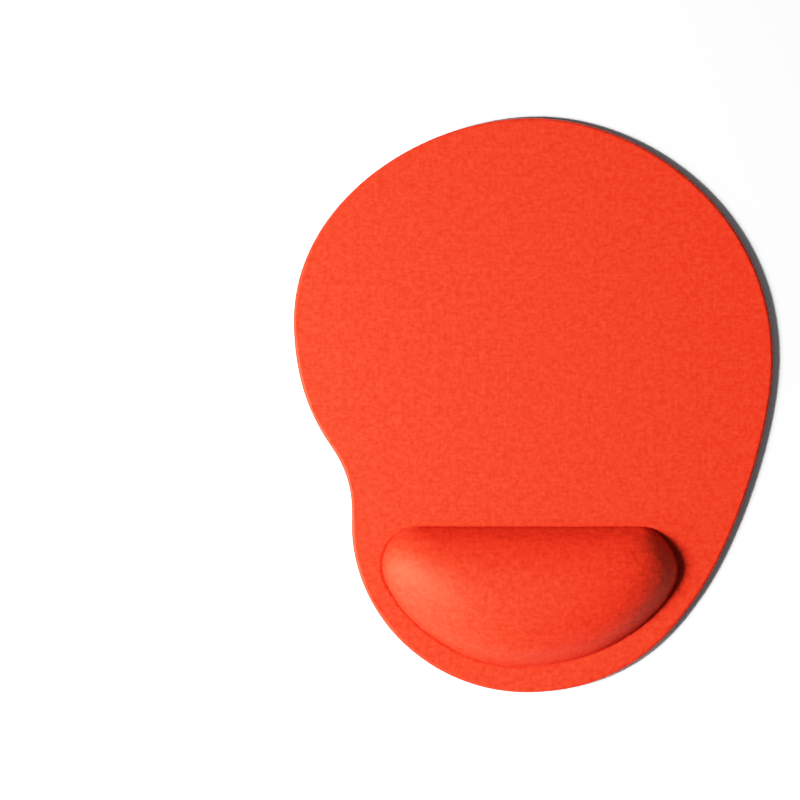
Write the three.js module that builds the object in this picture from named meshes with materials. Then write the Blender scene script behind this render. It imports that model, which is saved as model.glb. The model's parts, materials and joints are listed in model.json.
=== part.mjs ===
// A mouse mat with a built-in wrist rest: a thin, egg-shaped laminate with a waist on its left side, and
// a domed foam cushion for the heel of the hand near its lower edge. One knit cover is stretched over both.
//
// Millimetres. The origin is the centre of the outline's box, on the desk. +X is to the right of the
// person at the desk, +Y is away from them and +Z is up.

import * as THREE from "three";

// ---- Driving dimensions ----

// The layers of the mat, from the desk upwards.
const BASE_SHEET = 0.8; // non-slip rubber
const BASE_BOND = 0.1; // hot-melt film
const MAT_FOAM = 1.6; // closed-cell foam
const COVER_BOND = 0.1; // hot-melt film
const COVER_KNIT = 0.4; // knit fabric

// The rim, which is pressed thin and then cut.
const RIM_DROP = 1.0; // how far the top falls at the cut
const RIM_WIDTH = 1.4; // how far in from the cut the fall begins

// The wrist rest.
const CROWN_RISE = 16; // top of the cover's dome above the flat of the mat
const CROWN = new THREE.Vector2(0, -73); // the highest point, seen from above
const DOME_FULLNESS = 1.4; // more makes the dome flatter on top
const DOME_FOOT = 0.75; // less makes it steeper at its foot
const CORE_BOND = 0.1; // hot-melt film between the mat's foam and the cushion
const CORE_SLACK = 0.15; // air round the cushion, under the film that hugs it

// The two outlines, anticlockwise. Each node is [x, y, heading in degrees, handle before, handle after],
// where heading 0 is +X and 90 is +Y, and a handle is how far the curve's control point lies from the node.
const MAT_OUTLINE = [
  [96, 18.5, 90, 29.5, 59.5], // widest on the right
  [0, 115, 180, 43, 47], // far edge
  [-96, 34, 270, 46, 31], // widest on the left
  [-80, -18, 303, 6.5, 18], // above the waist
  [-72.5, -54, 276, 9.5, 36], // below the waist
  [-3, -115, 0, 34, 43], // near edge
  [63.5, -79.5, 53, 9, 27], // lower right
];
const CUSHION_OUTLINE = [
  [58, -66, 90, 12, 7], // right end
  [43, -48.5, 180, 8, 20], // straight side, right
  [-45, -48.5, 180, 20, 8.5], // straight side, left
  [-60.5, -64.5, 270, 9, 11.5], // left end
  [-3.5, -104.5, 0, 34.5, 37], // bottom of the bow
];

// How finely the curves are cut into facets.
const MAT_STEPS = 16; // per stretch between two nodes of the mat's outline
const CUSHION_STEPS = 12; // per stretch of the cushion's outline
const RIM_STEPS = 2;
const DOME_STEPS = 7;
const FINE_STEPS = 280; // per stretch of the cushion's outline, where it is only measured

// ---- Sizes that follow ----

const BASE_BOND_TOP = BASE_SHEET + BASE_BOND;
const FOAM_TOP = BASE_BOND_TOP + MAT_FOAM;
const COVER_BOND_TOP = FOAM_TOP + COVER_BOND;
const MAT_TOP = COVER_BOND_TOP + COVER_KNIT;
const CUSHION_DEPTH = COVER_KNIT + COVER_BOND + CORE_SLACK; // from the cover's outer face to the cushion

// ---- Outlines ----

// The point that lies a handle's length from a node, forwards or, with a negative length, backwards.
function handle([x, y, heading], length) {
  const angle = THREE.MathUtils.degToRad(heading);
  return new THREE.Vector2(x + length * Math.cos(angle), y + length * Math.sin(angle));
}

// A closed loop of points along the smooth curve through the nodes.
function loopThrough(nodes, steps) {
  const path = new THREE.Path().moveTo(nodes[0][0], nodes[0][1]);
  nodes.forEach((node, i) => {
    const next = nodes[(i + 1) % nodes.length];
    const out = handle(node, node[4]);
    const into = handle(next, -next[3]);
    path.bezierCurveTo(out.x, out.y, into.x, into.y, next[0], next[1]);
  });
  return path.getPoints(steps).slice(0, -1);
}

// The loop moved inwards by a distance, at right angles to itself.
function inset(loop, distance) {
  return loop.map((point, i) => {
    const before = loop.at(i - 1);
    const after = loop[(i + 1) % loop.length];
    const along = after.clone().sub(before).normalize();
    return new THREE.Vector2(point.x - along.y * distance, point.y + along.x * distance);
  });
}

// The loop shrunk towards the crown.
function shrunk(loop, scale) {
  return loop.map((point) => point.clone().sub(CROWN).multiplyScalar(scale).add(CROWN));
}

const matLoop = loopThrough(MAT_OUTLINE, MAT_STEPS);
const domeLoop = loopThrough(CUSHION_OUTLINE, CUSHION_STEPS); // the foot of the cover's dome
const cushionLoop = inset(domeLoop, CUSHION_DEPTH); // the foot of the foam cushion

// ---- The dome's form ----

const fineFoot = loopThrough(CUSHION_OUTLINE, FINE_STEPS);

// How far inside the dome's foot a point lies: the plain distance near the foot, and smooth all over.
function depthInside(point) {
  let pull = 0;
  fineFoot.forEach((start, i) => {
    const end = fineFoot[(i + 1) % fineFoot.length];
    const along = end.clone().sub(start);
    const way = start.clone().add(end).multiplyScalar(0.5).sub(point);
    pull += way.cross(along) / way.lengthSq() ** 2;
  });
  return Math.sqrt(Math.PI / 2 / pull);
}

const deepest = depthInside(CROWN);

// The dome's height over a point, as a share of the crown's.
function swell(point) {
  const depth = Math.min(depthInside(point) / deepest, 1);
  return (1 - (1 - depth) ** DOME_FULLNESS) ** DOME_FOOT;
}

// Each ring of the dome from the foot up: its plan size as a share of the foot's, and its points' swells.
const domeRings = Array.from({ length: DOME_STEPS - 1 }, (_, i) => {
  const scale = Math.cos((Math.PI / 2) * ((i + 1) / DOME_STEPS));
  return { scale, swells: shrunk(domeLoop, scale).map(swell) };
});

// ---- Surfaces and solids ----

// An open surface that faces up, built from its outer edge inwards.
class Surface {
  points = [];
  faces = [];

  // Adds a loop of points at a height, each lifted by its own amount, and gives the numbers of its points.
  addLoop(loop, z, lifts = []) {
    const first = this.points.length;
    this.points.push(...loop.map((point, i) => new THREE.Vector3(point.x, point.y, z + (lifts[i] ?? 0))));
    return loop.map((_, i) => first + i);
  }

  // Joins two loops of as many points.
  addBand(outer, inner) {
    outer.forEach((a, i) => {
      const j = (i + 1) % outer.length;
      this.faces.push([a, outer[j], inner[j]], [a, inner[j], inner[i]]);
    });
  }

  // Closes the flat space inside a loop, except for what lies inside a second loop.
  addFlat(outer, hole = []) {
    const numbers = [...outer, ...hole];
    const flat = (loop) => loop.map((i) => new THREE.Vector2(this.points[i].x, this.points[i].y));
    const holes = hole.length ? [flat(hole)] : [];
    for (const face of THREE.ShapeUtils.triangulateShape(flat(outer), holes)) {
      this.faces.push(face.map((i) => numbers[i]));
    }
  }

  // Closes a loop with a fan of faces up to one point.
  addCap(outer, x, y, z) {
    const tip = this.points.push(new THREE.Vector3(x, y, z)) - 1;
    outer.forEach((a, i) => this.faces.push([a, outer[(i + 1) % outer.length], tip]));
  }

  // The rolled rim of the mat, up to its flat at height z. Gives the loop where the flat begins.
  addRim(z) {
    let outer = this.addLoop(matLoop, z - RIM_DROP);
    for (let step = 1; step <= RIM_STEPS; step++) {
      const turn = (Math.PI / 2) * (step / RIM_STEPS);
      const loop = inset(matLoop, RIM_WIDTH * (1 - Math.cos(turn)));
      const inner = this.addLoop(loop, z - RIM_DROP * (1 - Math.sin(turn)));
      this.addBand(outer, inner);
      outer = inner;
    }
    return outer;
  }

  // The dome that rises from a foot loop, steep at first and almost level round the crown.
  addDome(foot, loop, footHeight, crownHeight) {
    let outer = foot;
    for (const { scale, swells } of domeRings) {
      const lifts = swells.map((share) => share * (crownHeight - footHeight));
      const inner = this.addLoop(shrunk(loop, scale), footHeight, lifts);
      this.addBand(outer, inner);
      outer = inner;
    }
    this.addCap(outer, CROWN.x, CROWN.y, crownHeight);
  }
}

// The flat face of an outline at a height.
function flatSurface(loop, z) {
  const surface = new Surface();
  surface.addFlat(surface.addLoop(loop, z));
  return surface;
}

// The top of the mat's foam: rolled at the rim and flat inside it.
function foamSurface() {
  const surface = new Surface();
  surface.addFlat(surface.addRim(FOAM_TOP));
  return surface;
}

// The cover's shape at a depth below its outer face: rim, flat and dome in one.
function coverSurface(depth) {
  const surface = new Surface();
  const loop = inset(domeLoop, depth);
  const flat = surface.addRim(MAT_TOP - depth);
  const foot = surface.addLoop(loop, MAT_TOP - depth);
  surface.addFlat(flat, foot);
  surface.addDome(foot, loop, MAT_TOP - depth, MAT_TOP + CROWN_RISE - depth);
  return surface;
}

// The cushion's dome above its flat underside, just inside the film that hugs it.
function cushionSurface(z) {
  const surface = new Surface();
  const foot = surface.addLoop(cushionLoop, z);
  surface.addDome(foot, cushionLoop, z, MAT_TOP + CROWN_RISE - CUSHION_DEPTH);
  return surface;
}

// The closed solid between two surfaces whose outer loops, of so many points, stand one above the other.
function solidBetween(bottom, top, edgePoints) {
  const shift = top.points.length;
  const turnedOver = bottom.faces.map(([a, b, c]) => [a + shift, c + shift, b + shift]);
  const index = [...top.faces, ...turnedOver].flat();
  for (let i = 0; i < edgePoints; i++) {
    const j = (i + 1) % edgePoints;
    index.push(i + shift, j + shift, j, i + shift, j, i);
  }
  const geometry = new THREE.BufferGeometry().setFromPoints([...top.points, ...bottom.points]);
  geometry.setIndex(index);
  geometry.computeVertexNormals();
  return geometry;
}

// ---- The pieces, from the desk upwards ----

// A sheet of even thickness cut to an outline.
function cutSheet(loop, z, thickness) {
  const cut = { depth: thickness, bevelEnabled: false };
  return new THREE.ExtrudeGeometry(new THREE.Shape(loop), cut).translate(0, 0, z);
}

function baseSheet() {
  return cutSheet(matLoop, 0, BASE_SHEET);
}

function baseBondFilm() {
  return cutSheet(matLoop, BASE_SHEET, BASE_BOND);
}

function matFoam() {
  return solidBetween(flatSurface(matLoop, BASE_BOND_TOP), foamSurface(), matLoop.length);
}

function coreBondFilm() {
  return cutSheet(cushionLoop, FOAM_TOP, CORE_BOND);
}

function wristCushion() {
  const underside = FOAM_TOP + CORE_BOND;
  return solidBetween(flatSurface(cushionLoop, underside), cushionSurface(underside), cushionLoop.length);
}

function coverBondFilm() {
  return solidBetween(coverSurface(COVER_KNIT + COVER_BOND), coverSurface(COVER_KNIT), matLoop.length);
}

function knitCover() {
  return solidBetween(coverSurface(COVER_KNIT), coverSurface(0), matLoop.length);
}

// ---- Assembly ----

function material(color, roughness) {
  return new THREE.MeshStandardMaterial({ color, roughness, metalness: 0 });
}

const rubber = material("#17181a", 0.85);
const blackFoam = material("#202124", 0.95);
const creamFoam = material("#d9cfbc", 0.95);
const hotMelt = material("#e6e2d6", 0.45);
const redKnit = material("#f64a2b", 0.9);

function piece(name, geometry, finish) {
  const mesh = new THREE.Mesh(geometry, finish);
  mesh.name = name;
  return mesh;
}

const mat = new THREE.Group();
mat.add(
  piece("base_sheet", baseSheet(), rubber),
  piece("base_bond_film", baseBondFilm(), hotMelt),
  piece("mat_foam", matFoam(), blackFoam),
);

const wristRest = new THREE.Group();
wristRest.add(
  piece("core_bond_film", coreBondFilm(), hotMelt),
  piece("wrist_cushion", wristCushion(), creamFoam),
);

const cover = new THREE.Group();
cover.add(
  piece("cover_bond_film", coverBondFilm(), hotMelt),
  piece("knit_cover", knitCover(), redKnit),
);

const wristRestMat = new THREE.Group();
wristRestMat.add(mat, wristRest, cover);

export default wristRestMat;
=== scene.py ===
import json
import math

import bmesh
import bpy
import numpy as np
from bpy.props import FloatProperty, FloatVectorProperty, IntProperty, PointerProperty
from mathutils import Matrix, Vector

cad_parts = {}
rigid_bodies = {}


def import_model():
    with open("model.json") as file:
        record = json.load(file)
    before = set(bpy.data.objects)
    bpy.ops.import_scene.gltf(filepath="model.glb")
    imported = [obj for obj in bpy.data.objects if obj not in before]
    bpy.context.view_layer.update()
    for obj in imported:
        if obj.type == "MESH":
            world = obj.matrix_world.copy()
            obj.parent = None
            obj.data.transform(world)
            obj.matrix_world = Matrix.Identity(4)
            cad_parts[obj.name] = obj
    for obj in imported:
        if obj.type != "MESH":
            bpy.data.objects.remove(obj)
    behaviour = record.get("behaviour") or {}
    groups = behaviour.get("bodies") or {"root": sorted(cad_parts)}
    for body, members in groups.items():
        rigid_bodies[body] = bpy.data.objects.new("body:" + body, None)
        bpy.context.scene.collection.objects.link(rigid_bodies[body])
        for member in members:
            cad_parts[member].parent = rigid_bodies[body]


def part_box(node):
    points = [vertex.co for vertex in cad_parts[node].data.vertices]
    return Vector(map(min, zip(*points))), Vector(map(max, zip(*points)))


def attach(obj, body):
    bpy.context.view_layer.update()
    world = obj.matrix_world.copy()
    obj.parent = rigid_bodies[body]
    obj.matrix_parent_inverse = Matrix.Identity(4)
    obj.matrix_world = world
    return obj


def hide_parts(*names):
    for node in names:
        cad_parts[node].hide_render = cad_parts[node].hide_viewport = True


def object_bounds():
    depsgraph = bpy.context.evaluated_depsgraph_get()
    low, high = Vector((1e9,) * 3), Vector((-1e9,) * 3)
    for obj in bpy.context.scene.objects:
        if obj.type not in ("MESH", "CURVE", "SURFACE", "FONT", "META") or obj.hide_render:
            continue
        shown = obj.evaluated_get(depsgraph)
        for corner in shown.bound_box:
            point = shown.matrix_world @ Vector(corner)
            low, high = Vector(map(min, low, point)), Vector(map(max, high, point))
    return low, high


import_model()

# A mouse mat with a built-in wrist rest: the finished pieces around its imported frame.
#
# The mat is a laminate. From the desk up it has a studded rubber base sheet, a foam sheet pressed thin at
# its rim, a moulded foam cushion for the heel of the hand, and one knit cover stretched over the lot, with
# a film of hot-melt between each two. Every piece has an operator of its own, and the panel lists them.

bl_info = {
    "name": "Wrist Rest Mat",
    "version": (1, 0, 0),
    "blender": (4, 5, 0),
    "location": "3D View > Sidebar > Wrist Rest Mat",
    "description": "Builds a mouse mat with a domed foam wrist rest under one knit cover",
    "category": "Add Mesh",
}

MM = 0.001
BODY = "root"

# ---- Sizes that the frame gives ----

CAD_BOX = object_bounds()
BASE_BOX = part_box("base_sheet")
BASE_FILM_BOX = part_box("base_bond_film")
FOAM_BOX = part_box("mat_foam")
CORE_FILM_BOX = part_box("core_bond_film")
CUSHION_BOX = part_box("wrist_cushion")
COVER_FILM_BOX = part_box("cover_bond_film")
COVER_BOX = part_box("knit_cover")

KNIT = COVER_BOX[1].z - COVER_FILM_BOX[1].z  # thickness of the cover
FILM = BASE_FILM_BOX[1].z - BASE_FILM_BOX[0].z  # thickness of a hot-melt film
FOAM_TOP = FOAM_BOX[1].z
MAT_TOP = FOAM_TOP + FILM + KNIT
CROWN_RISE = COVER_BOX[1].z - MAT_TOP
RIM_DROP = MAT_TOP - KNIT - COVER_BOX[0].z  # how far the cover falls from the flat to the cut

# ---- Outlines ----

# Each node is (x, y, heading in degrees, handle before, handle after), in millimetres and anticlockwise.
# Heading 0 is +X, and a handle is how far the curve's control point lies from the node.
MAT_OUTLINE = (
    (96, 18.5, 90, 29.5, 59.5),  # widest on the right
    (0, 115, 180, 43, 47),  # far edge
    (-96, 34, 270, 46, 31),  # widest on the left
    (-80, -18, 303, 6.5, 18),  # above the waist
    (-72.5, -54, 276, 9.5, 36),  # below the waist
    (-3, -115, 0, 34, 43),  # near edge
    (63.5, -79.5, 53, 9, 27),  # lower right
)
DOME_OUTLINE = (
    (58, -66, 90, 12, 7),  # right end
    (43, -48.5, 180, 8, 20),  # straight side, right
    (-45, -48.5, 180, 20, 8.5),  # straight side, left
    (-60.5, -64.5, 270, 9, 11.5),  # left end
    (-3.5, -104.5, 0, 34.5, 37),  # bottom of the bow
)
CROWN = Vector((0, -73, 0)) * MM  # the middle of the dome, seen from above
DOME_FULLNESS = 1.4  # more makes the dome flatter on top
DOME_FOOT = 0.75  # less makes it steeper at its foot
OUTLINE_FIT = 0.3 * MM  # how far an outline may stray from the frame's box

# The framing of the picture: the point looked at, and the width taken in.
VIEW_CENTRE = Vector((-53.4, 2.1, 0)) * MM
VIEW_WIDTH = 320 * MM
LENS = 200  # millimetres
SENSOR = 36  # millimetres


# ---- Settings a user would change ----


def length_setting(name, description, millimetres):
    return FloatProperty(
        name=name, description=description, default=millimetres * MM, min=0, precision=5,
        unit="LENGTH", subtype="DISTANCE",
    )


def angle_setting(name, description, degrees):
    return FloatProperty(
        name=name, description=description, default=math.radians(degrees), min=0, subtype="ANGLE",
    )


def power_setting(name, description, watts):
    return FloatProperty(name=name, description=description, default=watts, min=0, unit="POWER")


def colour_setting(name, description, colour):
    return FloatVectorProperty(
        name=name, description=description, default=colour, min=0, max=1, size=3, subtype="COLOR",
    )


class MatSettings(bpy.types.PropertyGroup):
    """Sizes of the laminate and its wrist rest."""

    detail: IntProperty(
        name="Detail", description="Points round an outline; a multiple of 280", default=280, min=280,
    )
    rim_width: length_setting("Rim width", "How far in from the cut the pressed rim begins", 1.4)
    crease_depth: length_setting("Crease depth", "How deep the cover is tucked in round the cushion", 0.45)
    crease_width: length_setting("Crease width", "How wide the tuck round the cushion is", 1.4)
    swell_cap: length_setting("Swell cap", "The most that the foam cushion may swell", 0.8)
    stud_length: length_setting("Stud length", "Length of a stud under the base", 4.6)
    stud_width: length_setting("Stud width", "Width of a stud under the base", 2.6)
    stud_height: length_setting("Stud height", "How far the studs stand out of the base", 0.25)


class FinishSettings(bpy.types.PropertyGroup):
    """Colours and textures of the pieces."""

    fuzz_colour: colour_setting("Fuzz", "Colour of the knit's lightest fibres", (0.73, 0.0285, 0.0104))
    # The dark end of the knit's random tone, and the painted shade where one sees between its yarns.
    dark_tone_and_gap_shade_colour: colour_setting("Knit shade", "Colour between the knit's yarns", (0.47, 0.0150, 0.0042))
    rubber_colour: colour_setting("Rubber", "Colour of the base sheet", (0.011, 0.011, 0.012))
    foam_colour: colour_setting("Mat foam", "Colour of the foam sheet", (0.014, 0.014, 0.015))
    cushion_colour: colour_setting("Cushion foam", "Colour of the cushion", (0.62, 0.54, 0.40))
    film_colour: colour_setting("Hot-melt", "Colour of the bonding films", (0.55, 0.50, 0.38))
    wale: length_setting("Wale", "Width of one column of knit loops", 0.62)
    course: length_setting("Course", "Height of one row of knit loops", 0.5)


class StudioSettings(bpy.types.PropertyGroup):
    """Light and floor."""

    distance: FloatProperty(
        name="Distance", description="How far both lights are from the mat", default=0.9, min=0.5,
        unit="LENGTH", subtype="DISTANCE",
    )
    key_power: power_setting("Key", "Power of the key light", 29.5)
    key_height: angle_setting("Key height", "Height of the key light above the horizon", 37)
    key_turn: angle_setting("Key turn", "Turn of the key light from the left towards the front", 13)
    key_size: length_setting("Key size", "Width of the key light, which softens shadows", 280)
    side_power: power_setting("Side", "Power of the low side light", 9)
    side_height: angle_setting("Side height", "Height of the side light above the horizon", 14)
    side_turn: angle_setting("Side turn", "Turn of the side light from the left towards the front", 28)
    side_size: length_setting("Side size", "Width of the side light", 800)
    fill_strength: FloatProperty(name="Fill", description="Strength of the sky's fill", default=0.12, min=0)
    floor_colour: colour_setting("Floor", "Colour of the floor", (0.97, 0.97, 0.97))


# ---- Working in object and edit mode ----


def deselect_all():
    """Leaves edit mode and deselects every object."""
    active = bpy.context.view_layer.objects.active
    if active and active.mode != "OBJECT":
        bpy.ops.object.mode_set(mode="OBJECT")
    bpy.ops.object.select_all(action="DESELECT")


def take(piece):
    """Makes a piece the only selected and active object."""
    deselect_all()
    piece.select_set(True)
    bpy.context.view_layer.objects.active = piece


def edit(piece, mode="FACE"):
    """Opens a piece in edit mode with nothing selected."""
    take(piece)
    bpy.ops.object.mode_set(mode="EDIT")
    bpy.ops.mesh.select_mode(type=mode)
    bpy.ops.mesh.select_all(action="DESELECT")


def close_edit():
    bpy.ops.object.mode_set(mode="OBJECT")


def select_where(piece, kind, test):
    """Selects, in edit mode, the vertices, edges or faces that pass a test."""
    mesh = bmesh.from_edit_mesh(piece.data)
    for item in getattr(mesh, kind):
        item.select_set(bool(test(item)))
    mesh.select_flush_mode()
    bmesh.update_edit_mesh(piece.data)


def apply_modifiers(piece):
    take(piece)
    for modifier in list(piece.modifiers):
        bpy.ops.object.modifier_apply(modifier=modifier.name)


def points_of(piece):
    """The vertices of a piece as an array with a row for each."""
    flat = np.empty(len(piece.data.vertices) * 3)
    piece.data.vertices.foreach_get("co", flat)
    return flat.reshape(-1, 3)


def set_points(piece, points):
    piece.data.vertices.foreach_set("co", points.ravel())
    piece.data.update()


def weight_group(piece, name, weights):
    """Stores a weight from 0 to 1 for every vertex under a name."""
    group = piece.vertex_groups.new(name=name)
    for number, weight in enumerate(weights):
        if weight > 0:
            group.add([number], float(min(weight, 1)), "REPLACE")


def copy_of(piece, name):
    take(piece)
    bpy.ops.object.duplicate()
    copied = bpy.context.object
    copied.name = name
    return copied


def finish_piece(piece, name, node, material, smooth=60):
    """Names a piece, shades it, dresses it and hands it to the frame."""
    take(piece)
    bpy.ops.object.shade_smooth_by_angle(angle=math.radians(smooth))
    piece.name = name
    piece.data.name = name
    piece.data.materials.clear()
    piece.data.materials.append(material)
    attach(piece, BODY)
    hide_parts(node)


# ---- Outlines and flat faces ----

RIM_START = math.radians(30)  # where on its quarter turn the rim's arc begins
AREA_DETAIL = 280  # points of an outline whose area is measured


def draw_outline(name, nodes, detail, z):
    """Draws an outline as a closed Bezier curve and makes it a loop of edges."""
    deselect_all()
    bpy.ops.curve.primitive_bezier_circle_add()
    drawn = bpy.context.object
    drawn.name = name
    spline = drawn.data.splines[0]
    spline.bezier_points.add(len(nodes) - len(spline.bezier_points))
    for point, (x, y, heading, before, after) in zip(spline.bezier_points, nodes):
        turn = math.radians(heading)
        along = Vector((math.cos(turn), math.sin(turn), 0)) * MM
        point.handle_left_type = "FREE"
        point.handle_right_type = "FREE"
        point.co = Vector((x * MM, y * MM, z))
        point.handle_left = point.co - along * before
        point.handle_right = point.co + along * after
    spline.resolution_u = detail // len(nodes)
    bpy.ops.object.convert(target="MESH")
    return bpy.context.object


def check_outline(loop, box, inset):
    """Stops if a drawn outline doesn't fit the frame's box."""
    points = points_of(loop)
    for axis in (0, 1):
        for side, found in ((0, points[:, axis].min() + inset), (1, points[:, axis].max() - inset)):
            if abs(found - box[side][axis]) > OUTLINE_FIT:
                wanted = box[side][axis]
                raise RuntimeError(f"{loop.name} is {found:.4f} m where the frame has {wanted:.4f} m")


def outline_area(nodes):
    """The area inside an outline, in square metres."""
    loop = draw_outline("cut", nodes, AREA_DETAIL, 0)
    x, y, _ = points_of(loop).T
    bpy.data.objects.remove(loop)
    return abs(float(np.dot(x, np.roll(y, -1)) - np.dot(y, np.roll(x, -1)))) / 2


def fill_outline(loop):
    """Fills a loop of edges with one face that looks up, and leaves it selected in edit mode."""
    edit(loop)
    bpy.ops.mesh.select_all(action="SELECT")
    bpy.ops.mesh.edge_face_add()
    if face_looks_down(loop):
        bpy.ops.mesh.flip_normals()


def face_looks_down(piece):
    mesh = bmesh.from_edit_mesh(piece.data)
    return sum(face.normal.z * face.calc_area() for face in mesh.faces) < 0


def trim(piece, distance):
    """Cuts an even strip off the edge of the one filled face, which stays selected."""
    bpy.ops.mesh.inset(thickness=distance, depth=0)
    bpy.ops.mesh.select_all(action="INVERT")
    bpy.ops.mesh.delete(type="FACE")
    mesh = bmesh.from_edit_mesh(piece.data)
    loose = [vert for vert in mesh.verts if not vert.link_faces]
    bmesh.ops.delete(mesh, geom=loose, context="VERTS")
    bmesh.update_edit_mesh(piece.data)
    bpy.ops.mesh.select_all(action="SELECT")


def raise_face(height):
    """Extrudes the selected face straight up."""
    bpy.ops.mesh.extrude_region_move(TRANSFORM_OT_translate={"value": (0, 0, height)})


def roll_rim(width, height, steps):
    """Insets and lifts the selected face along an arc that starts steep and ends level."""
    first = math.cos(RIM_START)
    reach = rise = 0
    for step in range(1, steps + 1):
        turn = RIM_START + (math.pi / 2 - RIM_START) * step / steps
        next_reach = width * (1 - math.cos(turn) / first)
        next_rise = height * (math.sin(turn) - math.sin(RIM_START)) / (1 - math.sin(RIM_START))
        bpy.ops.mesh.inset(thickness=next_reach - reach, depth=next_rise - rise)
        reach = next_reach
        rise = next_rise


# ---- The dome ----

RING_LIMIT = math.radians(58)  # how far up the dome its rings go; a grid closes the rest
CLIMB_TURNS = 180  # directions from the crown in which the way up the dome is measured
CLIMB_LEGS = 32  # legs of each way up


def ring_scales(steps):
    """The plan size of each ring of the dome, from the foot up, as a share of its outline."""
    return [math.cos(RING_LIMIT * step / steps) for step in range(1, steps + 1)]


def draw_rings(steps):
    """Extrudes the selected loop of edges inwards in shrinking rings and closes it with a grid."""
    scale = 1
    for next_scale in ring_scales(steps):
        ratio = next_scale / scale
        bpy.ops.mesh.extrude_edges_indiv()
        bpy.ops.transform.resize(value=(ratio, ratio, 1), center_override=CROWN)
        scale = next_scale
    bpy.ops.mesh.fill_grid()


class DomePlan:
    """Where a point lies on the dome, seen from above, and how high the dome is there."""

    def __init__(self, outline):
        self.outline = outline[:, :2]
        reach = self.outline - np.array(CROWN.xy)
        angles = np.arctan2(reach[:, 1], reach[:, 0])
        order = np.argsort(angles)
        self.angles = angles[order]
        self.radii = np.hypot(*reach.T)[order]

    def radius(self, angle):
        """How far the outline is from the crown in a direction."""
        return np.interp(angle, self.angles, self.radii, period=2 * math.pi)

    def polar(self, points):
        """Each point's direction from the crown, and its distance as a share of the outline's."""
        reach = points[:, :2] - np.array(CROWN.xy)
        angle = np.arctan2(reach[:, 1], reach[:, 0])
        return angle, np.hypot(*reach.T) / self.radius(angle)

    def place(self, angle, share):
        """The point in a direction at a share of the outline's distance."""
        reach = share * self.radius(angle)
        return np.array(CROWN.xy) + np.stack([reach * np.cos(angle), reach * np.sin(angle)], axis=-1)

    def depth(self, angle, share):
        """How far inside the outline a point is: the plain distance near the edge, and smooth all over."""
        points = self.place(angle, share)
        pull = np.zeros(len(points))
        for start, end in zip(self.outline, np.roll(self.outline, -1, axis=0)):
            along = end - start
            way = (start + end) / 2 - points
            pull += (way[:, 0] * along[1] - way[:, 1] * along[0]) / (way**2).sum(axis=1) ** 2
        smooth = np.sqrt(math.pi / 2 / np.maximum(pull, 1e-9))
        return np.minimum(smooth, (1 - share) * self.radius(angle))

    def swell(self, angle, share):
        """The dome's height, from 0 at its foot and outside it to 1 at its highest."""
        height = np.zeros_like(share)
        inside = share < 1
        depth = self.depth(angle[inside], share[inside])
        height[inside] = (1 - (1 - depth / depth.max()) ** DOME_FULLNESS) ** DOME_FOOT
        return height

    def climb(self, angle, share):
        """How much of the way up the dome lies between the crown and a point."""
        turns = np.linspace(-math.pi, math.pi, CLIMB_TURNS + 1)
        angles, steps = np.meshgrid(turns, np.linspace(0, 1, CLIMB_LEGS + 1), indexing="ij")
        shares = np.sin(steps * math.pi / 2)
        heights = CROWN_RISE * self.swell(angles.ravel(), shares.ravel()).reshape(shares.shape)
        legs = np.hypot(np.diff(self.radius(angles) * shares), np.diff(heights))
        way = np.pad(np.cumsum(legs, axis=1), ((0, 0), (1, 0)))
        way /= way[:, -1:]
        column = (angle + math.pi) / (2 * math.pi) * CLIMB_TURNS
        row = np.arcsin(np.clip(share, 0, 1)) / (math.pi / 2) * CLIMB_LEGS
        left = np.minimum(column.astype(int), CLIMB_TURNS - 1)
        low = np.minimum(row.astype(int), CLIMB_LEGS - 1)
        across = column - left
        up = row - low
        near = way[left, low] * (1 - across) + way[left + 1, low] * across
        far = way[left, low + 1] * (1 - across) + way[left + 1, low + 1] * across
        return near * (1 - up) + far * up


def smooth_step(values, low, high):
    """0 below low, 1 above high and smooth between."""
    t = np.clip((values - low) / (high - low), 0, 1)
    return t * t * (3 - 2 * t)


# ---- Base sheet ----

EMBED = 0.08 * MM  # how far the studs' roots reach into the sheet
STUD_MARGIN = 2.2 * MM  # bare rubber round the edge
BASE_BEVEL = 0.12 * MM  # on both edges of the sheet


def stud_field(mat, z):
    """Lozenge studs in staggered rows, wider than the mat."""
    deselect_all()
    across = mat.stud_length * 1.5
    along = mat.stud_width * 1.5
    bpy.ops.mesh.primitive_cylinder_add(vertices=4, radius=0.5, depth=1)
    stud = bpy.context.object
    stud.name = "stud"
    bpy.ops.transform.resize(value=(mat.stud_length, mat.stud_width, mat.stud_height + EMBED))
    bpy.ops.object.transform_apply(location=True, rotation=True, scale=True)
    edit(stud)
    select_where(stud, "faces", lambda face: face.normal.z < -0.5)
    bpy.ops.mesh.bevel(offset=mat.stud_height * 0.6, segments=2, affect="EDGES")
    select_where(stud, "faces", lambda face: face.normal.z > 0.5)
    bpy.ops.mesh.delete(type="FACE")
    close_edit()
    low, high = BASE_BOX
    columns = math.ceil((high.x - low.x) / across) + 1
    rows = math.ceil((high.y - low.y) / along) + 1
    start = points_of(stud)
    set_points(stud, start + np.array([low.x, low.y, z - start[:, 2].min()]))
    second = copy_of(stud, "stud_between")
    set_points(second, points_of(second) + np.array([across / 2, along / 2, 0]))
    take(stud)
    second.select_set(True)
    bpy.ops.object.join()
    for count, step in ((columns, (across, 0, 0)), (rows, (0, along, 0))):
        array = stud.modifiers.new("rows", "ARRAY")
        array.count = count
        array.use_relative_offset = False
        array.use_constant_offset = True
        array.constant_offset_displace = step
    apply_modifiers(stud)
    return stud


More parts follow.
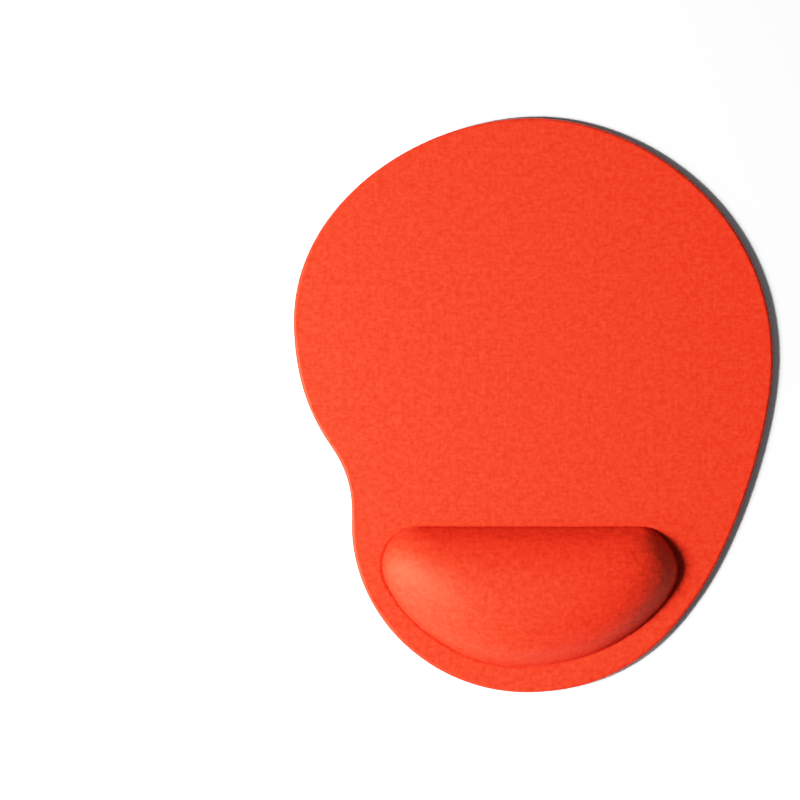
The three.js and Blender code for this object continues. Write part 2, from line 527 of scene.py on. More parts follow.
def keep_inside(piece, outline, margin):
    """Deletes every island of a piece that isn't wholly inside an outline."""
    edge = outline[:, :2]
    following = np.roll(edge, -1, axis=0)
    points = points_of(piece)[:, :2]
    crossings = np.zeros(len(points), int)
    nearest = np.full(len(points), np.inf)
    for a, b in zip(edge, following):
        spans = (a[1] > points[:, 1]) != (b[1] > points[:, 1])
        rise = b[1] - a[1] if b[1] != a[1] else 1e-12
        hit = points[:, 0] < a[0] + (points[:, 1] - a[1]) * (b[0] - a[0]) / rise
        crossings += spans & hit
        nearest = np.minimum(nearest, np.hypot(*(points - a).T))
    outside = (crossings % 2 == 0) | (nearest < margin)
    edit(piece, "VERT")
    select_where(piece, "verts", lambda vert: outside[vert.index])
    bpy.ops.mesh.select_linked()
    bpy.ops.mesh.delete(type="VERT")
    close_edit()


class WRISTMAT_OT_base_sheet(bpy.types.Operator):
    """Builds the rubber base sheet with its non-slip studs"""

    bl_idname = "wristmat.base_sheet"
    bl_label = "Base sheet"

    def execute(self, context):
        mat = context.scene.wristmat_sizes
        low, high = BASE_BOX[0].z, BASE_BOX[1].z
        sheet = draw_outline("base_sheet_blank", MAT_OUTLINE, mat.detail, low + mat.stud_height)
        check_outline(sheet, BASE_BOX, 0)
        outline = points_of(sheet)
        fill_outline(sheet)
        raise_face(high - low - mat.stud_height)
        bpy.ops.mesh.select_all(action="SELECT")
        bpy.ops.mesh.normals_make_consistent(inside=False)
        select_where(sheet, "faces", lambda face: abs(face.normal.z) > 0.9)
        bpy.ops.mesh.bevel(offset=BASE_BEVEL, segments=2, affect="EDGES")
        close_edit()
        studs = stud_field(mat, low)
        keep_inside(studs, outline, STUD_MARGIN)
        take(sheet)
        studs.select_set(True)
        bpy.ops.object.join()
        finish_piece(sheet, "rubber_base", "base_sheet", rubber_material(context), smooth=35)
        return {"FINISHED"}


# ---- Films and foam ----

FILM_SHYNESS = 0.5 * MM  # how far a film stays back from the cut edge
FOAM_SHYNESS = 0.06 * MM  # the same for the foam sheet
FOAM_RIM_STEPS = 6


def flat_film(name, nodes, detail, inset, low, high):
    """A thin flat film that stays back from an outline."""
    film = draw_outline(name, nodes, detail, low)
    fill_outline(film)
    trim(film, inset)
    raise_face(high - low)
    bpy.ops.mesh.select_all(action="SELECT")
    bpy.ops.mesh.normals_make_consistent(inside=False)
    close_edit()
    return film


class WRISTMAT_OT_flat_films(bpy.types.Operator):
    """Builds the two flat hot-melt films, under the foam sheet and under the cushion"""

    bl_idname = "wristmat.flat_films"
    bl_label = "Flat films"

    def execute(self, context):
        detail = context.scene.wristmat_sizes.detail
        material = film_material(context)
        low, high = BASE_FILM_BOX
        film = flat_film("base_film", MAT_OUTLINE, detail, FILM_SHYNESS, low.z, high.z)
        finish_piece(film, "base_film", "base_bond_film", material)
        low, high = CORE_FILM_BOX
        inset = low.x - min(node[0] for node in DOME_OUTLINE) * MM
        film = flat_film("cushion_film", DOME_OUTLINE, detail, inset, low.z, high.z)
        finish_piece(film, "cushion_film", "core_bond_film", material)
        return {"FINISHED"}


class WRISTMAT_OT_foam_sheet(bpy.types.Operator):
    """Builds the mat's foam sheet, pressed thin at its rim"""

    bl_idname = "wristmat.foam_sheet"
    bl_label = "Foam sheet"

    def execute(self, context):
        mat = context.scene.wristmat_sizes
        sheet = draw_outline("foam_sheet", MAT_OUTLINE, mat.detail, FOAM_BOX[0].z)
        fill_outline(sheet)
        trim(sheet, FOAM_SHYNESS)
        raise_face(FOAM_TOP - RIM_DROP - FOAM_BOX[0].z)
        roll_rim(mat.rim_width - FOAM_SHYNESS, RIM_DROP, FOAM_RIM_STEPS)
        bpy.ops.mesh.select_all(action="SELECT")
        bpy.ops.mesh.normals_make_consistent(inside=False)
        close_edit()
        finish_piece(sheet, "foam_sheet", "mat_foam", foam_material(context))
        return {"FINISHED"}


# ---- Cushion ----

PAD_RINGS = 20
REMESH = 3 * MM
CLOTH_FRAMES = 20
CLOTH_PRESSURE = 4
GLUED_HEIGHT = 1.5 * MM  # the foot of the cushion, which its film holds
FREE_SHARES = (0.80, 0.97)  # inside the first share of its outline the pad swells freely; past the second not


def cushion_blank(mat):
    """The D-shaped domed blank that the foam is cut to."""
    foot = CUSHION_BOX[0].z
    inset = CUSHION_BOX[0].x - min(node[0] for node in DOME_OUTLINE) * MM
    pad = draw_outline("wrist_pad", DOME_OUTLINE, mat.detail, foot)
    check_outline(pad, CUSHION_BOX, inset)
    fill_outline(pad)
    trim(pad, inset)
    own_plan = DomePlan(points_of_edit(pad))
    bpy.ops.mesh.delete(type="ONLY_FACE")
    bpy.ops.mesh.select_mode(type="EDGE")
    bpy.ops.mesh.select_all(action="SELECT")
    draw_rings(PAD_RINGS)
    bpy.ops.mesh.select_all(action="DESELECT")
    select_where(pad, "edges", lambda edge: edge.is_boundary)
    bpy.ops.mesh.edge_face_add()
    close_edit()
    points = points_of(pad)
    angle, share = own_plan.polar(points)
    points[:, 2] += (CUSHION_BOX[1].z - foot) * dome_plan().swell(angle, share)
    set_points(pad, points)
    edit(pad)
    bpy.ops.mesh.select_all(action="SELECT")
    bpy.ops.mesh.normals_make_consistent(inside=False)
    close_edit()
    return pad, own_plan


def points_of_edit(piece):
    """The vertices of a piece that is open in edit mode."""
    return np.array([vert.co[:] for vert in bmesh.from_edit_mesh(piece.data).verts])


def swell_pad(context, pad, cap):
    """Lets the pad swell like foam that pushes against its skin, and keeps the move under a cap."""
    pad.data.remesh_voxel_size = REMESH
    take(pad)
    bpy.ops.object.voxel_remesh()
    start = points_of(pad)
    glued = start[:, 2] < CUSHION_BOX[0].z + GLUED_HEIGHT
    weight_group(pad, "glued", glued.astype(float))
    cloth = pad.modifiers.new("swell", "CLOTH")
    cloth.settings.vertex_group_mass = "glued"
    cloth.settings.use_pressure = True
    cloth.settings.uniform_pressure_force = CLOTH_PRESSURE
    cloth.settings.effector_weights.gravity = 0
    for number in range(1, CLOTH_FRAMES + 1):
        context.scene.frame_set(number)
    apply_modifiers(pad)
    context.scene.frame_set(1)
    move = points_of(pad) - start
    length = np.linalg.norm(move, axis=1, keepdims=True)
    set_points(pad, start + move * np.minimum(1, cap / np.maximum(length, 1e-9)))
    pad.vertex_groups.clear()
    smooth = pad.modifiers.new("even", "SMOOTH")
    smooth.iterations = 3
    finer = pad.modifiers.new("finer", "SUBSURF")
    finer.levels = 1
    finer.render_levels = 1
    apply_modifiers(pad)


def fit_pad(pad):
    """Seats the pad in the space that its CAD solid holds."""
    points = points_of(pad)
    low, high = points.min(axis=0), points.max(axis=0)
    want_low, want_high = np.array(CUSHION_BOX[0]), np.array(CUSHION_BOX[1])
    scale = (want_high - want_low) / (high - low)
    set_points(pad, want_low + (points - low) * scale)


def hold_foot(pad, plan, slack):
    """Moves back what swelled out of the space that the cover leaves, most strictly at the foot."""
    points = points_of(pad)
    angle, share = plan.polar(points)
    share = np.minimum(share, 1)
    points[:, :2] = plan.place(angle, share)
    low, high = CUSHION_BOX[0].z, CUSHION_BOX[1].z
    ceiling = low + (high - low) * dome_plan().swell(angle, share)
    ceiling += slack * (1 - smooth_step(share, *FREE_SHARES))
    points[:, 2] = np.minimum(points[:, 2], ceiling)
    set_points(pad, points)


class WRISTMAT_OT_cushion(bpy.types.Operator):
    """Builds the moulded foam cushion and lets it swell"""

    bl_idname = "wristmat.cushion"
    bl_label = "Wrist cushion"

    def execute(self, context):
        mat = context.scene.wristmat_sizes
        pad, plan = cushion_blank(mat)
        swell_pad(context, pad, mat.swell_cap)
        fit_pad(pad)
        hold_foot(pad, plan, mat.swell_cap)
        material = cushion_material(context)
        finish_piece(pad, "wrist_pad", "wrist_cushion", material)
        return {"FINISHED"}


# ---- Cover ----

CREASE_BANDS = (0.22, 0.22, 0.26, 0.34, 0.45, 0.6, 0.8)  # widths of the fine bands outside the dome's foot
FLAT_CUTS = 34  # rows across the flat of the mat
DOME_RINGS = 26
RIM_STEPS = 7
FINE_DETAIL = 1400  # points of an outline that is only measured
CUT_BAND = 0.06 * MM  # points no higher than this above the lowest are on the cut edge
TAUT_PASSES = 24  # smoothing passes that pull the sheet taut over the cushion
COVER_FILM_GAP = 0.01 * MM  # from the cover's inner face to its film
COVER_FILM = FILM * 0.8  # thickness of the cover's film, a little under the frame's
RIPPLE_SIZE = 14 * MM
RIPPLE_HEIGHT = 0.06 * MM


def cover_blank(mat):
    """The cover's rolled rim, from the cut up to where its flat begins."""
    sheet = draw_outline("cover_blank", MAT_OUTLINE, mat.detail, MAT_TOP - RIM_DROP)
    check_outline(sheet, COVER_BOX, 0)
    fill_outline(sheet)
    roll_rim(mat.rim_width, RIM_DROP, RIM_STEPS)
    bpy.ops.mesh.select_all(action="DESELECT")
    select_where(sheet, "faces", lambda face: len(face.verts) > 4)
    bpy.ops.mesh.delete(type="ONLY_FACE")
    return sheet


def dome_plan():
    """The plan of the dome's foot."""
    foot = draw_outline("dome_foot", DOME_OUTLINE, FINE_DETAIL, 0)
    plan = DomePlan(points_of(foot))
    bpy.data.objects.remove(foot)
    return plan


def draw_ring_to(sheet, plan):
    """Extrudes the selected loop of edges along lines towards the crown, as far as the dome's foot."""
    bpy.ops.mesh.extrude_edges_indiv()
    mesh = bmesh.from_edit_mesh(sheet.data)
    for vert in mesh.verts:
        if vert.select:
            reach = (vert.co - CROWN).xy
            vert.co.xy = plan.place(math.atan2(reach.y, reach.x), 1)
    bmesh.update_edit_mesh(sheet.data)


def at_height(edge, z):
    return all(abs(vert.co.z - z) < 1e-6 for vert in edge.verts)


def weave_flat(sheet, plan):
    """Fills the flat from the rim to the dome's foot, with fine bands along both and even rows between."""
    bpy.ops.mesh.select_mode(type="EDGE")
    select_where(sheet, "edges", lambda edge: at_height(edge, MAT_TOP) and edge.is_boundary)
    draw_ring_to(sheet, plan)
    bpy.ops.mesh.select_mode(type="FACE")
    select_where(sheet, "faces", lambda face: all(at_height(edge, MAT_TOP) for edge in face.edges))
    for width in CREASE_BANDS:
        bpy.ops.mesh.inset(thickness=width * MM, depth=0)
    mesh = bmesh.from_edit_mesh(sheet.data)
    across = {edge.index for edge in mesh.edges if sum(face.select for face in edge.link_faces) == 2}
    bpy.ops.mesh.select_mode(type="EDGE")
    select_where(sheet, "edges", lambda edge: edge.index in across)
    bpy.ops.mesh.subdivide(number_cuts=FLAT_CUTS)


def cover_sheet(mat):
    """The cover's outer face as one open sheet: rim, flat, crease and dome."""
    plan = dome_plan()
    sheet = cover_blank(mat)
    weave_flat(sheet, plan)
    bpy.ops.mesh.select_all(action="DESELECT")
    select_where(sheet, "edges", lambda edge: edge.is_boundary and at_height(edge, MAT_TOP))
    draw_rings(DOME_RINGS)
    bpy.ops.mesh.select_all(action="SELECT")
    bpy.ops.mesh.normals_make_consistent(inside=False)
    if face_looks_down(sheet):
        bpy.ops.mesh.flip_normals()
    close_edit()
    lay_knit_map(sheet, plan)
    points = points_of(sheet)
    angle, share = plan.polar(points)
    outside = (share - 1) * plan.radius(angle)  # roughly how far outside the foot a point is
    weight_group(sheet, "dome", plan.swell(angle, share))
    # The foam sheet isn't dented under the tuck, so the tuck's bottom sinks into it, out of sight.
    tuck = np.exp(-((outside / (mat.crease_width / 2)) ** 2))
    weight_group(sheet, "crease", np.where(outside > -mat.crease_width, tuck, 0))
    weight_group(sheet, "over_pad", 1 - smooth_step(share, *FREE_SHARES))
    for group, height in (("dome", CROWN_RISE), ("crease", -mat.crease_depth)):
        lift = sheet.modifiers.new(group, "DISPLACE")
        lift.direction = "Z"
        lift.mid_level = 0
        lift.strength = height
        lift.vertex_group = group
    apply_modifiers(sheet)
    return sheet


def lay_knit_map(sheet, plan):
    """A UV map in metres: the knit as it lay before it was stretched over the dome.

    On the dome the knit's rows are spread evenly along the way up from the foot to the crown.
    """
    points = points_of(sheet)
    angle, share = plan.polar(points)
    laid = points[:, :2].copy()
    inside = share < 1
    laid[inside] = plan.place(angle[inside], plan.climb(angle[inside], share[inside]))
    layer = sheet.data.uv_layers.new(name="knit")
    corners = np.empty(len(sheet.data.loops), int)
    sheet.data.loops.foreach_get("vertex_index", corners)
    layer.data.foreach_set("uv", laid[corners].ravel())


def drape_over_pad(sheet, pad, distance):
    """Lets the sheet follow the swollen cushion's form at an even distance."""
    wrap = sheet.modifiers.new("follow", "SHRINKWRAP")
    wrap.target = pad
    wrap.wrap_method = "NEAREST_SURFACEPOINT"
    wrap.wrap_mode = "ABOVE_SURFACE"
    wrap.offset = distance
    wrap.vertex_group = "over_pad"
    smooth = sheet.modifiers.new("taut", "SMOOTH")
    smooth.iterations = TAUT_PASSES
    smooth.vertex_group = "over_pad"
    apply_modifiers(sheet)


def ripple(sheet, size, strength):
    """A slight unevenness all over, as glue and foam leave it."""
    clouds = bpy.data.textures.new("unevenness", "CLOUDS")
    clouds.noise_scale = size
    clouds.noise_depth = 1
    waves = sheet.modifiers.new("unevenness", "DISPLACE")
    waves.texture = clouds
    waves.texture_coords = "LOCAL"
    waves.direction = "NORMAL"
    waves.strength = strength
    apply_modifiers(sheet)


def thicken(sheet, thickness):
    """Gives a sheet its thickness downwards, with its cut edge square to the desk."""
    outer = points_of(sheet)
    wall = sheet.modifiers.new("thickness", "SOLIDIFY")
    wall.thickness = thickness
    wall.offset = -1
    apply_modifiers(sheet)
    points = points_of(sheet)
    cut = np.flatnonzero(outer[:, 2] < outer[:, 2].min() + CUT_BAND)
    points[len(outer) + cut] = outer[cut] - np.array([0, 0, thickness])
    set_points(sheet, points)


class WRISTMAT_OT_cover(bpy.types.Operator):
    """Builds the knit cover and the hot-melt film on its inner face"""

    bl_idname = "wristmat.cover"
    bl_label = "Knit cover"

    def execute(self, context):
        mat = context.scene.wristmat_sizes
        pad = bpy.data.objects.get("wrist_pad")
        if pad is None:
            raise RuntimeError("build the wrist cushion first: the cover is laid over it")
        sheet = cover_sheet(mat)
        drape_over_pad(sheet, pad, COVER_BOX[1].z - CUSHION_BOX[1].z)
        film = copy_of(sheet, "cover_film")
        inner = film.modifiers.new("inner face", "DISPLACE")
        inner.mid_level = 0
        inner.strength = -KNIT - COVER_FILM_GAP
        apply_modifiers(film)
        thicken(film, COVER_FILM)
        finish_piece(film, "cover_film", "cover_bond_film", film_material(context))
        ripple(sheet, RIPPLE_SIZE, RIPPLE_HEIGHT)
        thicken(sheet, KNIT)
        finish_piece(sheet, "cover", "knit_cover", knit_material(context))
        outline_area(MAT_OUTLINE)
        return {"FINISHED"}


# ---- Materials ----


def wire(tree, kind, inputs=None, **settings):
    """Adds a node, with its settings, and sets or links its inputs."""
    node = tree.nodes.new(kind)
    for name, value in settings.items():
        setattr(node, name, value)
    for key, value in (inputs or {}).items():
        if isinstance(value, bpy.types.NodeSocket):
            tree.links.new(value, node.inputs[key])
        else:
            node.inputs[key].default_value = value
    return node


def sum_of(tree, operation, first, second=0.0, third=0.0):
    """The output of a Math node."""
    return wire(tree, "ShaderNodeMath", {0: first, 1: second, 2: third}, operation=operation).outputs[0]


def blend_of(tree, factor, first, second, mode="MIX"):
    """The colour output of a Mix node."""
    inputs = {"Factor": factor, "A": first, "B": second}
    node = tree.nodes.new("ShaderNodeMix")
    node.data_type = "RGBA"
    node.blend_type = mode
    sockets = {"Factor": node.inputs[0], "A": node.inputs[6], "B": node.inputs[7]}
    for key, value in inputs.items():
        if isinstance(value, bpy.types.NodeSocket):
            tree.links.new(value, sockets[key])
        else:
            sockets[key].default_value = value
    return node.outputs[2]


def group_tree(name, inputs, outputs):
    """An empty shader node group with named sockets, and its input and output nodes."""
    tree = bpy.data.node_groups.new(name, "ShaderNodeTree")
    for socket, kind, value in inputs:
        made = tree.interface.new_socket(name=socket, in_out="INPUT", socket_type=kind)
        if value is not None:
            made.default_value = value
    for socket in outputs:
        tree.interface.new_socket(name=socket, in_out="OUTPUT", socket_type="NodeSocketFloat")
    return tree, tree.nodes.new("NodeGroupInput"), tree.nodes.new("NodeGroupOutput")


def once(name, build):
    """A node group that is built on its first use."""
    return bpy.data.node_groups.get(name) or build(name)


def build_knit_loops(name):
    """Columns of V-shaped loops: Height for the yarn, Gap where one sees between the yarns, where the knit
    gets painted shade.
    """
    tree, given, made = group_tree(
        name,
        (("Place", "NodeSocketVector", None), ("Wale", "NodeSocketFloat", 0.0006),
         ("Course", "NodeSocketFloat", 0.0005)),
        ("Height", "Gap"),
    )
    place = wire(tree, "ShaderNodeSeparateXYZ", {0: given.outputs["Place"]})
    column = sum_of(tree, "DIVIDE", place.outputs["X"], given.outputs["Wale"])
    row = sum_of(tree, "DIVIDE", place.outputs["Y"], given.outputs["Course"])
    side = sum_of(tree, "ABSOLUTE", sum_of(tree, "SUBTRACT", sum_of(tree, "FRACT", column), 0.5))
    leg = sum_of(tree, "SINE", sum_of(tree, "MULTIPLY", side, 2 * math.pi))
    slant = sum_of(tree, "SUBTRACT", row, sum_of(tree, "MULTIPLY", side, 1.7))
    wave = sum_of(tree, "SINE", sum_of(tree, "MULTIPLY", slant, 2 * math.pi))
    plump = sum_of(tree, "MULTIPLY_ADD", wave, 0.35, 0.65)
    height = sum_of(tree, "MULTIPLY", sum_of(tree, "POWER", leg, 0.6), plump)
    gap_shade = sum_of(tree, "SUBTRACT", 1.0, sum_of(tree, "POWER", height, 0.5))
    tree.links.new(height, made.inputs["Height"])
    tree.links.new(gap_shade, made.inputs["Gap"])
    return tree


def build_mottle(name):
    """Soft patches and fine specks: Patches and Specks, each from 0 to 1 about 0.5."""
    tree, given, made = group_tree(
        name,
        (("Place", "NodeSocketVector", None), ("Patch size", "NodeSocketFloat", 0.004),
         ("Speck size", "NodeSocketFloat", 0.0006)),
        ("Patches", "Specks"),
    )
    for size, detail, socket in (("Patch size", 3.0, "Patches"), ("Speck size", 1.0, "Specks")):
        scale = sum_of(tree, "DIVIDE", 1.0, given.outputs[size])
        noise = wire(
            tree, "ShaderNodeTexNoise",
            {"Vector": given.outputs["Place"], "Scale": scale, "Detail": detail, "Roughness": 0.6},
        )
        tree.links.new(noise.outputs["Fac"], made.inputs[socket])
    return tree


def build_foam_cells(name):
    """Round closed cells: Height of the walls and Pits where cells are cut open."""
    tree, given, made = group_tree(
        name,
        (("Place", "NodeSocketVector", None), ("Cell size", "NodeSocketFloat", 0.0004)),
        ("Height", "Pits"),
    )
    scale = sum_of(tree, "DIVIDE", 1.0, given.outputs["Cell size"])
    cells = wire(
        tree, "ShaderNodeTexVoronoi", {"Vector": given.outputs["Place"], "Scale": scale},
        feature="SMOOTH_F1",
    )
    height = sum_of(tree, "MULTIPLY", cells.outputs["Distance"], 1.2)
    pits = sum_of(tree, "SUBTRACT", 1.0, sum_of(tree, "MULTIPLY", height, 1.6))
    tree.links.new(height, made.inputs["Height"])
    tree.links.new(sum_of(tree, "MAXIMUM", pits, 0.0), made.inputs["Pits"])
    return tree


def build_dust(name):
    """Dust and rubbed spots: a Mask from 0 to 1."""
    tree, given, made = group_tree(
        name,
        (("Place", "NodeSocketVector", None), ("Amount", "NodeSocketFloat", 0.3)),
        ("Mask",),
    )
    place = given.outputs["Place"]
    broad = wire(tree, "ShaderNodeTexNoise", {"Vector": place, "Scale": 45.0, "Detail": 5.0})
    fine = wire(tree, "ShaderNodeTexNoise", {"Vector": place, "Scale": 1400.0, "Detail": 2.0})
    both = sum_of(tree, "MULTIPLY", broad.outputs["Fac"], fine.outputs["Fac"])
    lifted = wire(
        tree, "ShaderNodeMapRange",
        {"Value": both, "From Min": 0.2, "From Max": 0.4, "To Min": 0.0, "To Max": 1.0},
    )
    mask = sum_of(tree, "MULTIPLY", lifted.outputs["Result"], given.outputs["Amount"])
    tree.links.new(mask, made.inputs["Mask"])
    return tree


def placed(tree, name, build, inputs):
    """Places a shared group in a material."""
    node = tree.nodes.new("ShaderNodeGroup")
    node.node_tree = once(name, build)
    for key, value in inputs.items():
        if isinstance(value, bpy.types.NodeSocket):
            tree.links.new(value, node.inputs[key])
        else:
            node.inputs[key].default_value = value
    return node.outputs


def new_material(name, **principled):
    """A material with its Principled shader's constant sockets set."""
    material = bpy.data.materials.new(name)
    material.use_nodes = True
    tree = material.node_tree
    shader = tree.nodes["Principled BSDF"]
    for key, value in principled.items():
        shader.inputs[key.replace("_", " ")].default_value = value
    place = tree.nodes.new("ShaderNodeTexCoord").outputs["Object"]
    return material, tree, shader, place


def rgba(colour, shade=1.0):
    return (*[min(channel * shade, 1) for channel in colour], 1)


def knit_material(context):
    """Fine matt knit with a soft gloss on its yarns and a little fuzz."""
    finish = context.scene.wristmat_finish
    material, tree, shader, _ = new_material(
        "knit", Sheen_Weight=0.02, Sheen_Roughness=0.4, Sheen_Tint=(1.0, 0.6, 0.4, 1),
        Specular_IOR_Level=0.17, Specular_Tint=(1.0, 0.72, 0.40, 1),
    )
    laid = wire(tree, "ShaderNodeUVMap", uv_map="knit").outputs["UV"]
    loops = placed(tree, "knit loops", build_knit_loops,
                   {"Place": laid, "Wale": finish.wale, "Course": finish.course})
    mottles = []
    for stretch in ((0.5, 1.0, 1.0), (1.0, 0.5, 1.0)):
        pulled = wire(tree, "ShaderNodeMapping", {"Vector": laid, "Scale": stretch}).outputs["Vector"]
        mottles.append(placed(tree, "mottle", build_mottle,
                              {"Place": pulled, "Patch size": 0.0024, "Speck size": 0.0012}))
    patches = sum_of(tree, "ADD", mottles[0]["Patches"], mottles[1]["Patches"])
    specks = sum_of(tree, "ADD", mottles[0]["Specks"], mottles[1]["Specks"])
    both = sum_of(tree, "SUBTRACT", sum_of(tree, "ADD", patches, specks), 2.0)
    tone = sum_of(tree, "MULTIPLY_ADD", both, 1.1, 0.5)
    colour = blend_of(tree, tone, rgba(finish.dark_tone_and_gap_shade_colour), rgba(finish.fuzz_colour))
    # Painted shade: the knit is darkened towards its dark colour where one sees between the yarns.
    gap_shade = sum_of(tree, "MULTIPLY", loops["Gap"], 0.25)
    colour = blend_of(tree, gap_shade, colour, rgba(finish.dark_tone_and_gap_shade_colour))
    tree.links.new(colour, shader.inputs["Base Color"])
    rough = sum_of(tree, "MULTIPLY_ADD", mottles[0]["Specks"], 0.14, 0.42)
    tree.links.new(rough, shader.inputs["Roughness"])
    height = sum_of(tree, "MULTIPLY_ADD", specks, 0.5, loops["Height"])
    bump = wire(tree, "ShaderNodeBump", {"Height": height, "Strength": 0.3, "Distance": 0.00012})
    tree.links.new(bump.outputs["Normal"], shader.inputs["Normal"])
    return material


def rubber_material(context):
    """Matt black rubber, dusty where it has touched a desk."""
    finish = context.scene.wristmat_finish
    material, tree, shader, place = new_material("base rubber", Specular_IOR_Level=0.45)
    mottle = placed(tree, "mottle", build_mottle, {"Place": place, "Patch size": 0.012, "Speck size": 0.0003})
    dust = placed(tree, "dust", build_dust, {"Place": place, "Amount": 0.35})
    base = blend_of(tree, mottle["Patches"], rgba(finish.rubber_colour, 0.8), rgba(finish.rubber_colour, 1.4))
    colour = blend_of(tree, dust["Mask"], base, (0.09, 0.085, 0.08, 1))
    tree.links.new(colour, shader.inputs["Base Color"])
    rough = sum_of(tree, "MULTIPLY_ADD", dust["Mask"], 0.4, 0.55)
    tree.links.new(rough, shader.inputs["Roughness"])
    bump = wire(tree, "ShaderNodeBump", {"Height": mottle["Specks"], "Strength": 0.3, "Distance": 0.00006})
    tree.links.new(bump.outputs["Normal"], shader.inputs["Normal"])
    return material


def cellular_material(name, tint, cell, shade):
    """Foam with small cells and a slight cloudiness, with painted shade in the pits of its cut-open cells."""
    material, tree, shader, place = new_material(name, Specular_IOR_Level=0.3)
    cells = placed(tree, "foam cells", build_foam_cells, {"Place": place, "Cell size": cell})
    mottle = placed(tree, "mottle", build_mottle, {"Place": place, "Patch size": 0.008, "Speck size": cell})
    base = blend_of(tree, mottle["Patches"], rgba(tint, 0.85), rgba(tint, 1.15))
    # Painted shade: the pits of cut-open cells are darkened by the shade factor.
    colour = blend_of(tree, cells["Pits"], base, rgba(tint, shade))
    tree.links.new(colour, shader.inputs["Base Color"])
    rough = sum_of(tree, "MULTIPLY_ADD", cells["Pits"], 0.15, 0.8)
    tree.links.new(rough, shader.inputs["Roughness"])
    bump = wire(tree, "ShaderNodeBump", {"Height": cells["Height"], "Strength": 0.5, "Distance": 0.0001})
    tree.links.new(bump.outputs["Normal"], shader.inputs["Normal"])
    return material


def foam_material(context):
    return cellular_material("mat foam", context.scene.wristmat_finish.foam_colour, 0.0003, 0.4)


def cushion_material(context):
    return cellular_material("cushion foam", context.scene.wristmat_finish.cushion_colour, 0.0006, 0.6)


def film_material(context):
    """Hot-melt film: slightly yellow and finely uneven."""
    found = bpy.data.materials.get("hot-melt film")
    if found:
        return found
    finish = context.scene.wristmat_finish
    material, tree, shader, place = new_material("hot-melt film", Specular_IOR_Level=0.5)
    mottle = placed(tree, "mottle", build_mottle, {"Place": place, "Patch size": 0.006, "Speck size": 0.0005})
    colour = blend_of(tree, mottle["Patches"], rgba(finish.film_colour, 0.8), rgba(finish.film_colour, 1.1))
    tree.links.new(colour, shader.inputs["Base Color"])
    rough = sum_of(tree, "MULTIPLY_ADD", mottle["Specks"], 0.3, 0.25)
    tree.links.new(rough, shader.inputs["Roughness"])
    bump = wire(tree, "ShaderNodeBump", {"Height": mottle["Specks"], "Strength": 0.25, "Distance": 0.00005})
    tree.links.new(bump.outputs["Normal"], shader.inputs["Normal"])
    return material


# ---- Stage ----

FLOOR_SIZE = 12  # metres
CLEAR_LIFT = 0.02 * MM  # the floor lies just under the studs

# The picture's tone curve: (light, tone) pairs, from black up to where everything is white. It was tuned
# together with the lights and the knit's colours, so the three go together.
RESPONSE = ((0, 0), (0.3, 0.3), (0.7, 0.69), (0.92, 0.82), (1.2, 0.89), (1.5, 0.94), (1.8, 0.985), (2.1, 1))


def floor_material(context):
    material, tree, shader, place = new_material("floor", Roughness=0.85, Specular_IOR_Level=0.2)
    mottle = placed(tree, "mottle", build_mottle, {"Place": place, "Patch size": 0.4, "Speck size": 0.002})
    colour = context.scene.wristmat_studio.floor_colour
    tone = blend_of(tree, mottle["Patches"], rgba(colour, 0.99), rgba(colour, 1.01))
    tree.links.new(tone, shader.inputs["Base Color"])
    return material


def lay_floor(context):
    deselect_all()
    bpy.ops.mesh.primitive_plane_add(size=FLOOR_SIZE, location=(0, 0, CAD_BOX[0].z - CLEAR_LIFT))
    floor = bpy.context.object
    floor.name = "floor"
    floor.data.materials.append(floor_material(context))


def hang_light(name, power, distance, height, turn, size):
    """A round soft box on the left and a little in front, aimed at the mat."""
    way = Vector((-math.cos(height) * math.cos(turn), -math.cos(height) * math.sin(turn), math.sin(height)))
    bpy.ops.object.light_add(type="AREA", location=way * distance)
    light = bpy.context.object
    light.name = name
    light.data.shape = "DISK"
    light.data.size = size
    light.data.energy = power
    light.visible_camera = False
    light.rotation_mode = "QUATERNION"
    light.rotation_quaternion = (-way).to_track_quat("-Z", "Y")


def set_sky(context, studio):
    """A pale backdrop to look at, and a dimmer sky for the fill."""
    world = context.scene.world or bpy.data.worlds.new("sky")
    context.scene.world = world
    world.use_nodes = True
    tree = world.node_tree
    tree.nodes.clear()
    fill = wire(
        tree, "ShaderNodeBackground", {"Color": (0.95, 0.97, 1.0, 1), "Strength": studio.fill_strength},
    )
    backdrop = wire(tree, "ShaderNodeBackground", {"Color": (0.93, 0.93, 0.93, 1), "Strength": 1.0})
    seen = wire(tree, "ShaderNodeLightPath").outputs["Is Camera Ray"]
    mix = wire(tree, "ShaderNodeMixShader", {0: seen, 1: fill.outputs[0], 2: backdrop.outputs[0]})
    wire(tree, "ShaderNodeOutputWorld", {"Surface": mix.outputs[0]})


def set_camera(context):
    """Straight down over the picture's centre, from far enough away to show no perspective."""
    distance = VIEW_WIDTH * LENS / SENSOR
    deselect_all()
    bpy.ops.object.camera_add(location=VIEW_CENTRE + Vector((0, 0, MAT_TOP + distance)), rotation=(0, 0, 0))
    camera = bpy.context.object
    camera.name = "camera"
    camera.data.lens = LENS
    camera.data.sensor_width = SENSOR
    camera.data.clip_end = 100
    context.scene.camera = camera


def set_response(context):
    """Makes the picture's bright tones level off. It changes the view only, not the materials."""
    view = context.scene.view_settings
    view.view_transform = "Standard"
    view.use_curve_mapping = True
    brightest = RESPONSE[-1][0]
    view.curve_mapping.white_level = (brightest,) * 3
    curve = view.curve_mapping.curves[3]
    curve.points[1].location = (1, RESPONSE[-1][1])
    for light, tone in RESPONSE[1:-1]:
        curve.points.new(light / brightest, tone)
    view.curve_mapping.update()


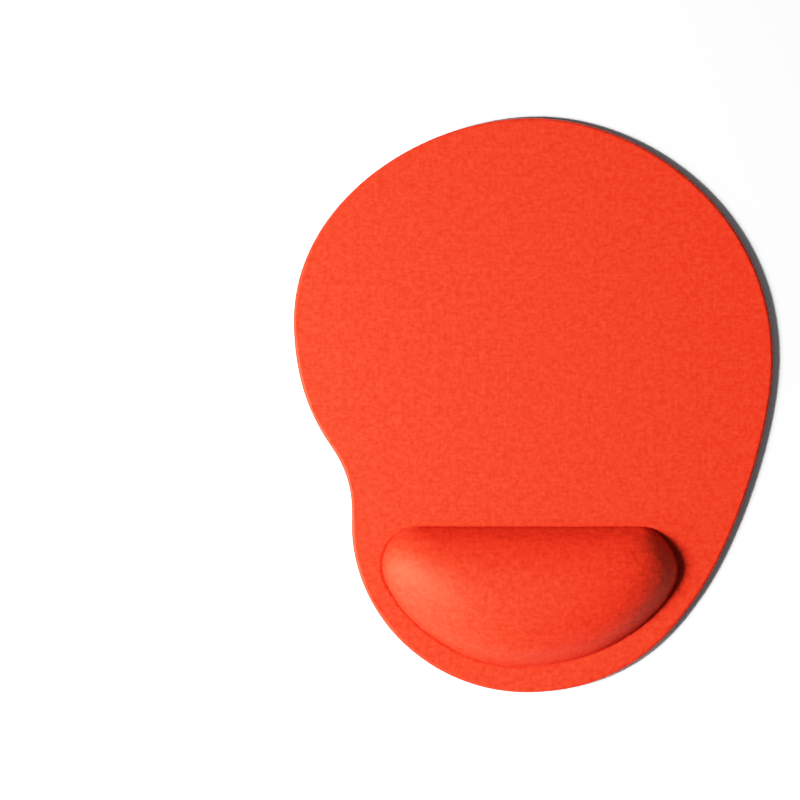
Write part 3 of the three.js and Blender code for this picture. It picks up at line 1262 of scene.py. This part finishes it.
class WRISTMAT_OT_stage(bpy.types.Operator):
    """Lays the floor, hangs the lights and sets the camera"""

    bl_idname = "wristmat.stage"
    bl_label = "Stage"

    def execute(self, context):
        studio = context.scene.wristmat_studio
        lay_floor(context)
        far = studio.distance
        hang_light("key", studio.key_power, far, studio.key_height, studio.key_turn, studio.key_size)
        hang_light("side", studio.side_power, far, studio.side_height, studio.side_turn, studio.side_size)
        set_sky(context, studio)
        set_camera(context)
        set_response(context)
        return {"FINISHED"}


# ---- Add-on ----


class WRISTMAT_PT_panel(bpy.types.Panel):
    """Lists the pieces and their settings"""

    bl_idname = "WRISTMAT_PT_panel"
    bl_label = "Wrist Rest Mat"
    bl_space_type = "VIEW_3D"
    bl_region_type = "UI"
    bl_category = "Wrist Rest Mat"

    def draw(self, context):
        for operator in OPERATORS:
            self.layout.operator(operator.bl_idname)
        for settings in ("wristmat_sizes", "wristmat_finish", "wristmat_studio"):
            box = self.layout.box()
            group = getattr(context.scene, settings)
            for name in group.bl_rna.properties.keys():
                if name not in ("rna_type", "name"):
                    box.prop(group, name)


OPERATORS = (
    WRISTMAT_OT_stage,
    WRISTMAT_OT_base_sheet,
    WRISTMAT_OT_flat_films,
    WRISTMAT_OT_foam_sheet,
    WRISTMAT_OT_cushion,
    WRISTMAT_OT_cover,
)
CLASSES = (MatSettings, FinishSettings, StudioSettings, *OPERATORS, WRISTMAT_PT_panel)


def register():
    for made in CLASSES:
        bpy.utils.register_class(made)
    bpy.types.Scene.wristmat_sizes = PointerProperty(type=MatSettings)
    bpy.types.Scene.wristmat_finish = PointerProperty(type=FinishSettings)
    bpy.types.Scene.wristmat_studio = PointerProperty(type=StudioSettings)


def unregister():
    del bpy.types.Scene.wristmat_sizes
    del bpy.types.Scene.wristmat_finish
    del bpy.types.Scene.wristmat_studio
    for made in reversed(CLASSES):
        bpy.utils.unregister_class(made)


def main():
    register()
    bpy.ops.wristmat.stage()
    bpy.ops.wristmat.base_sheet()
    bpy.ops.wristmat.flat_films()
    bpy.ops.wristmat.foam_sheet()
    bpy.ops.wristmat.cushion()
    bpy.ops.wristmat.cover()


if __name__ == "__main__":
    main()
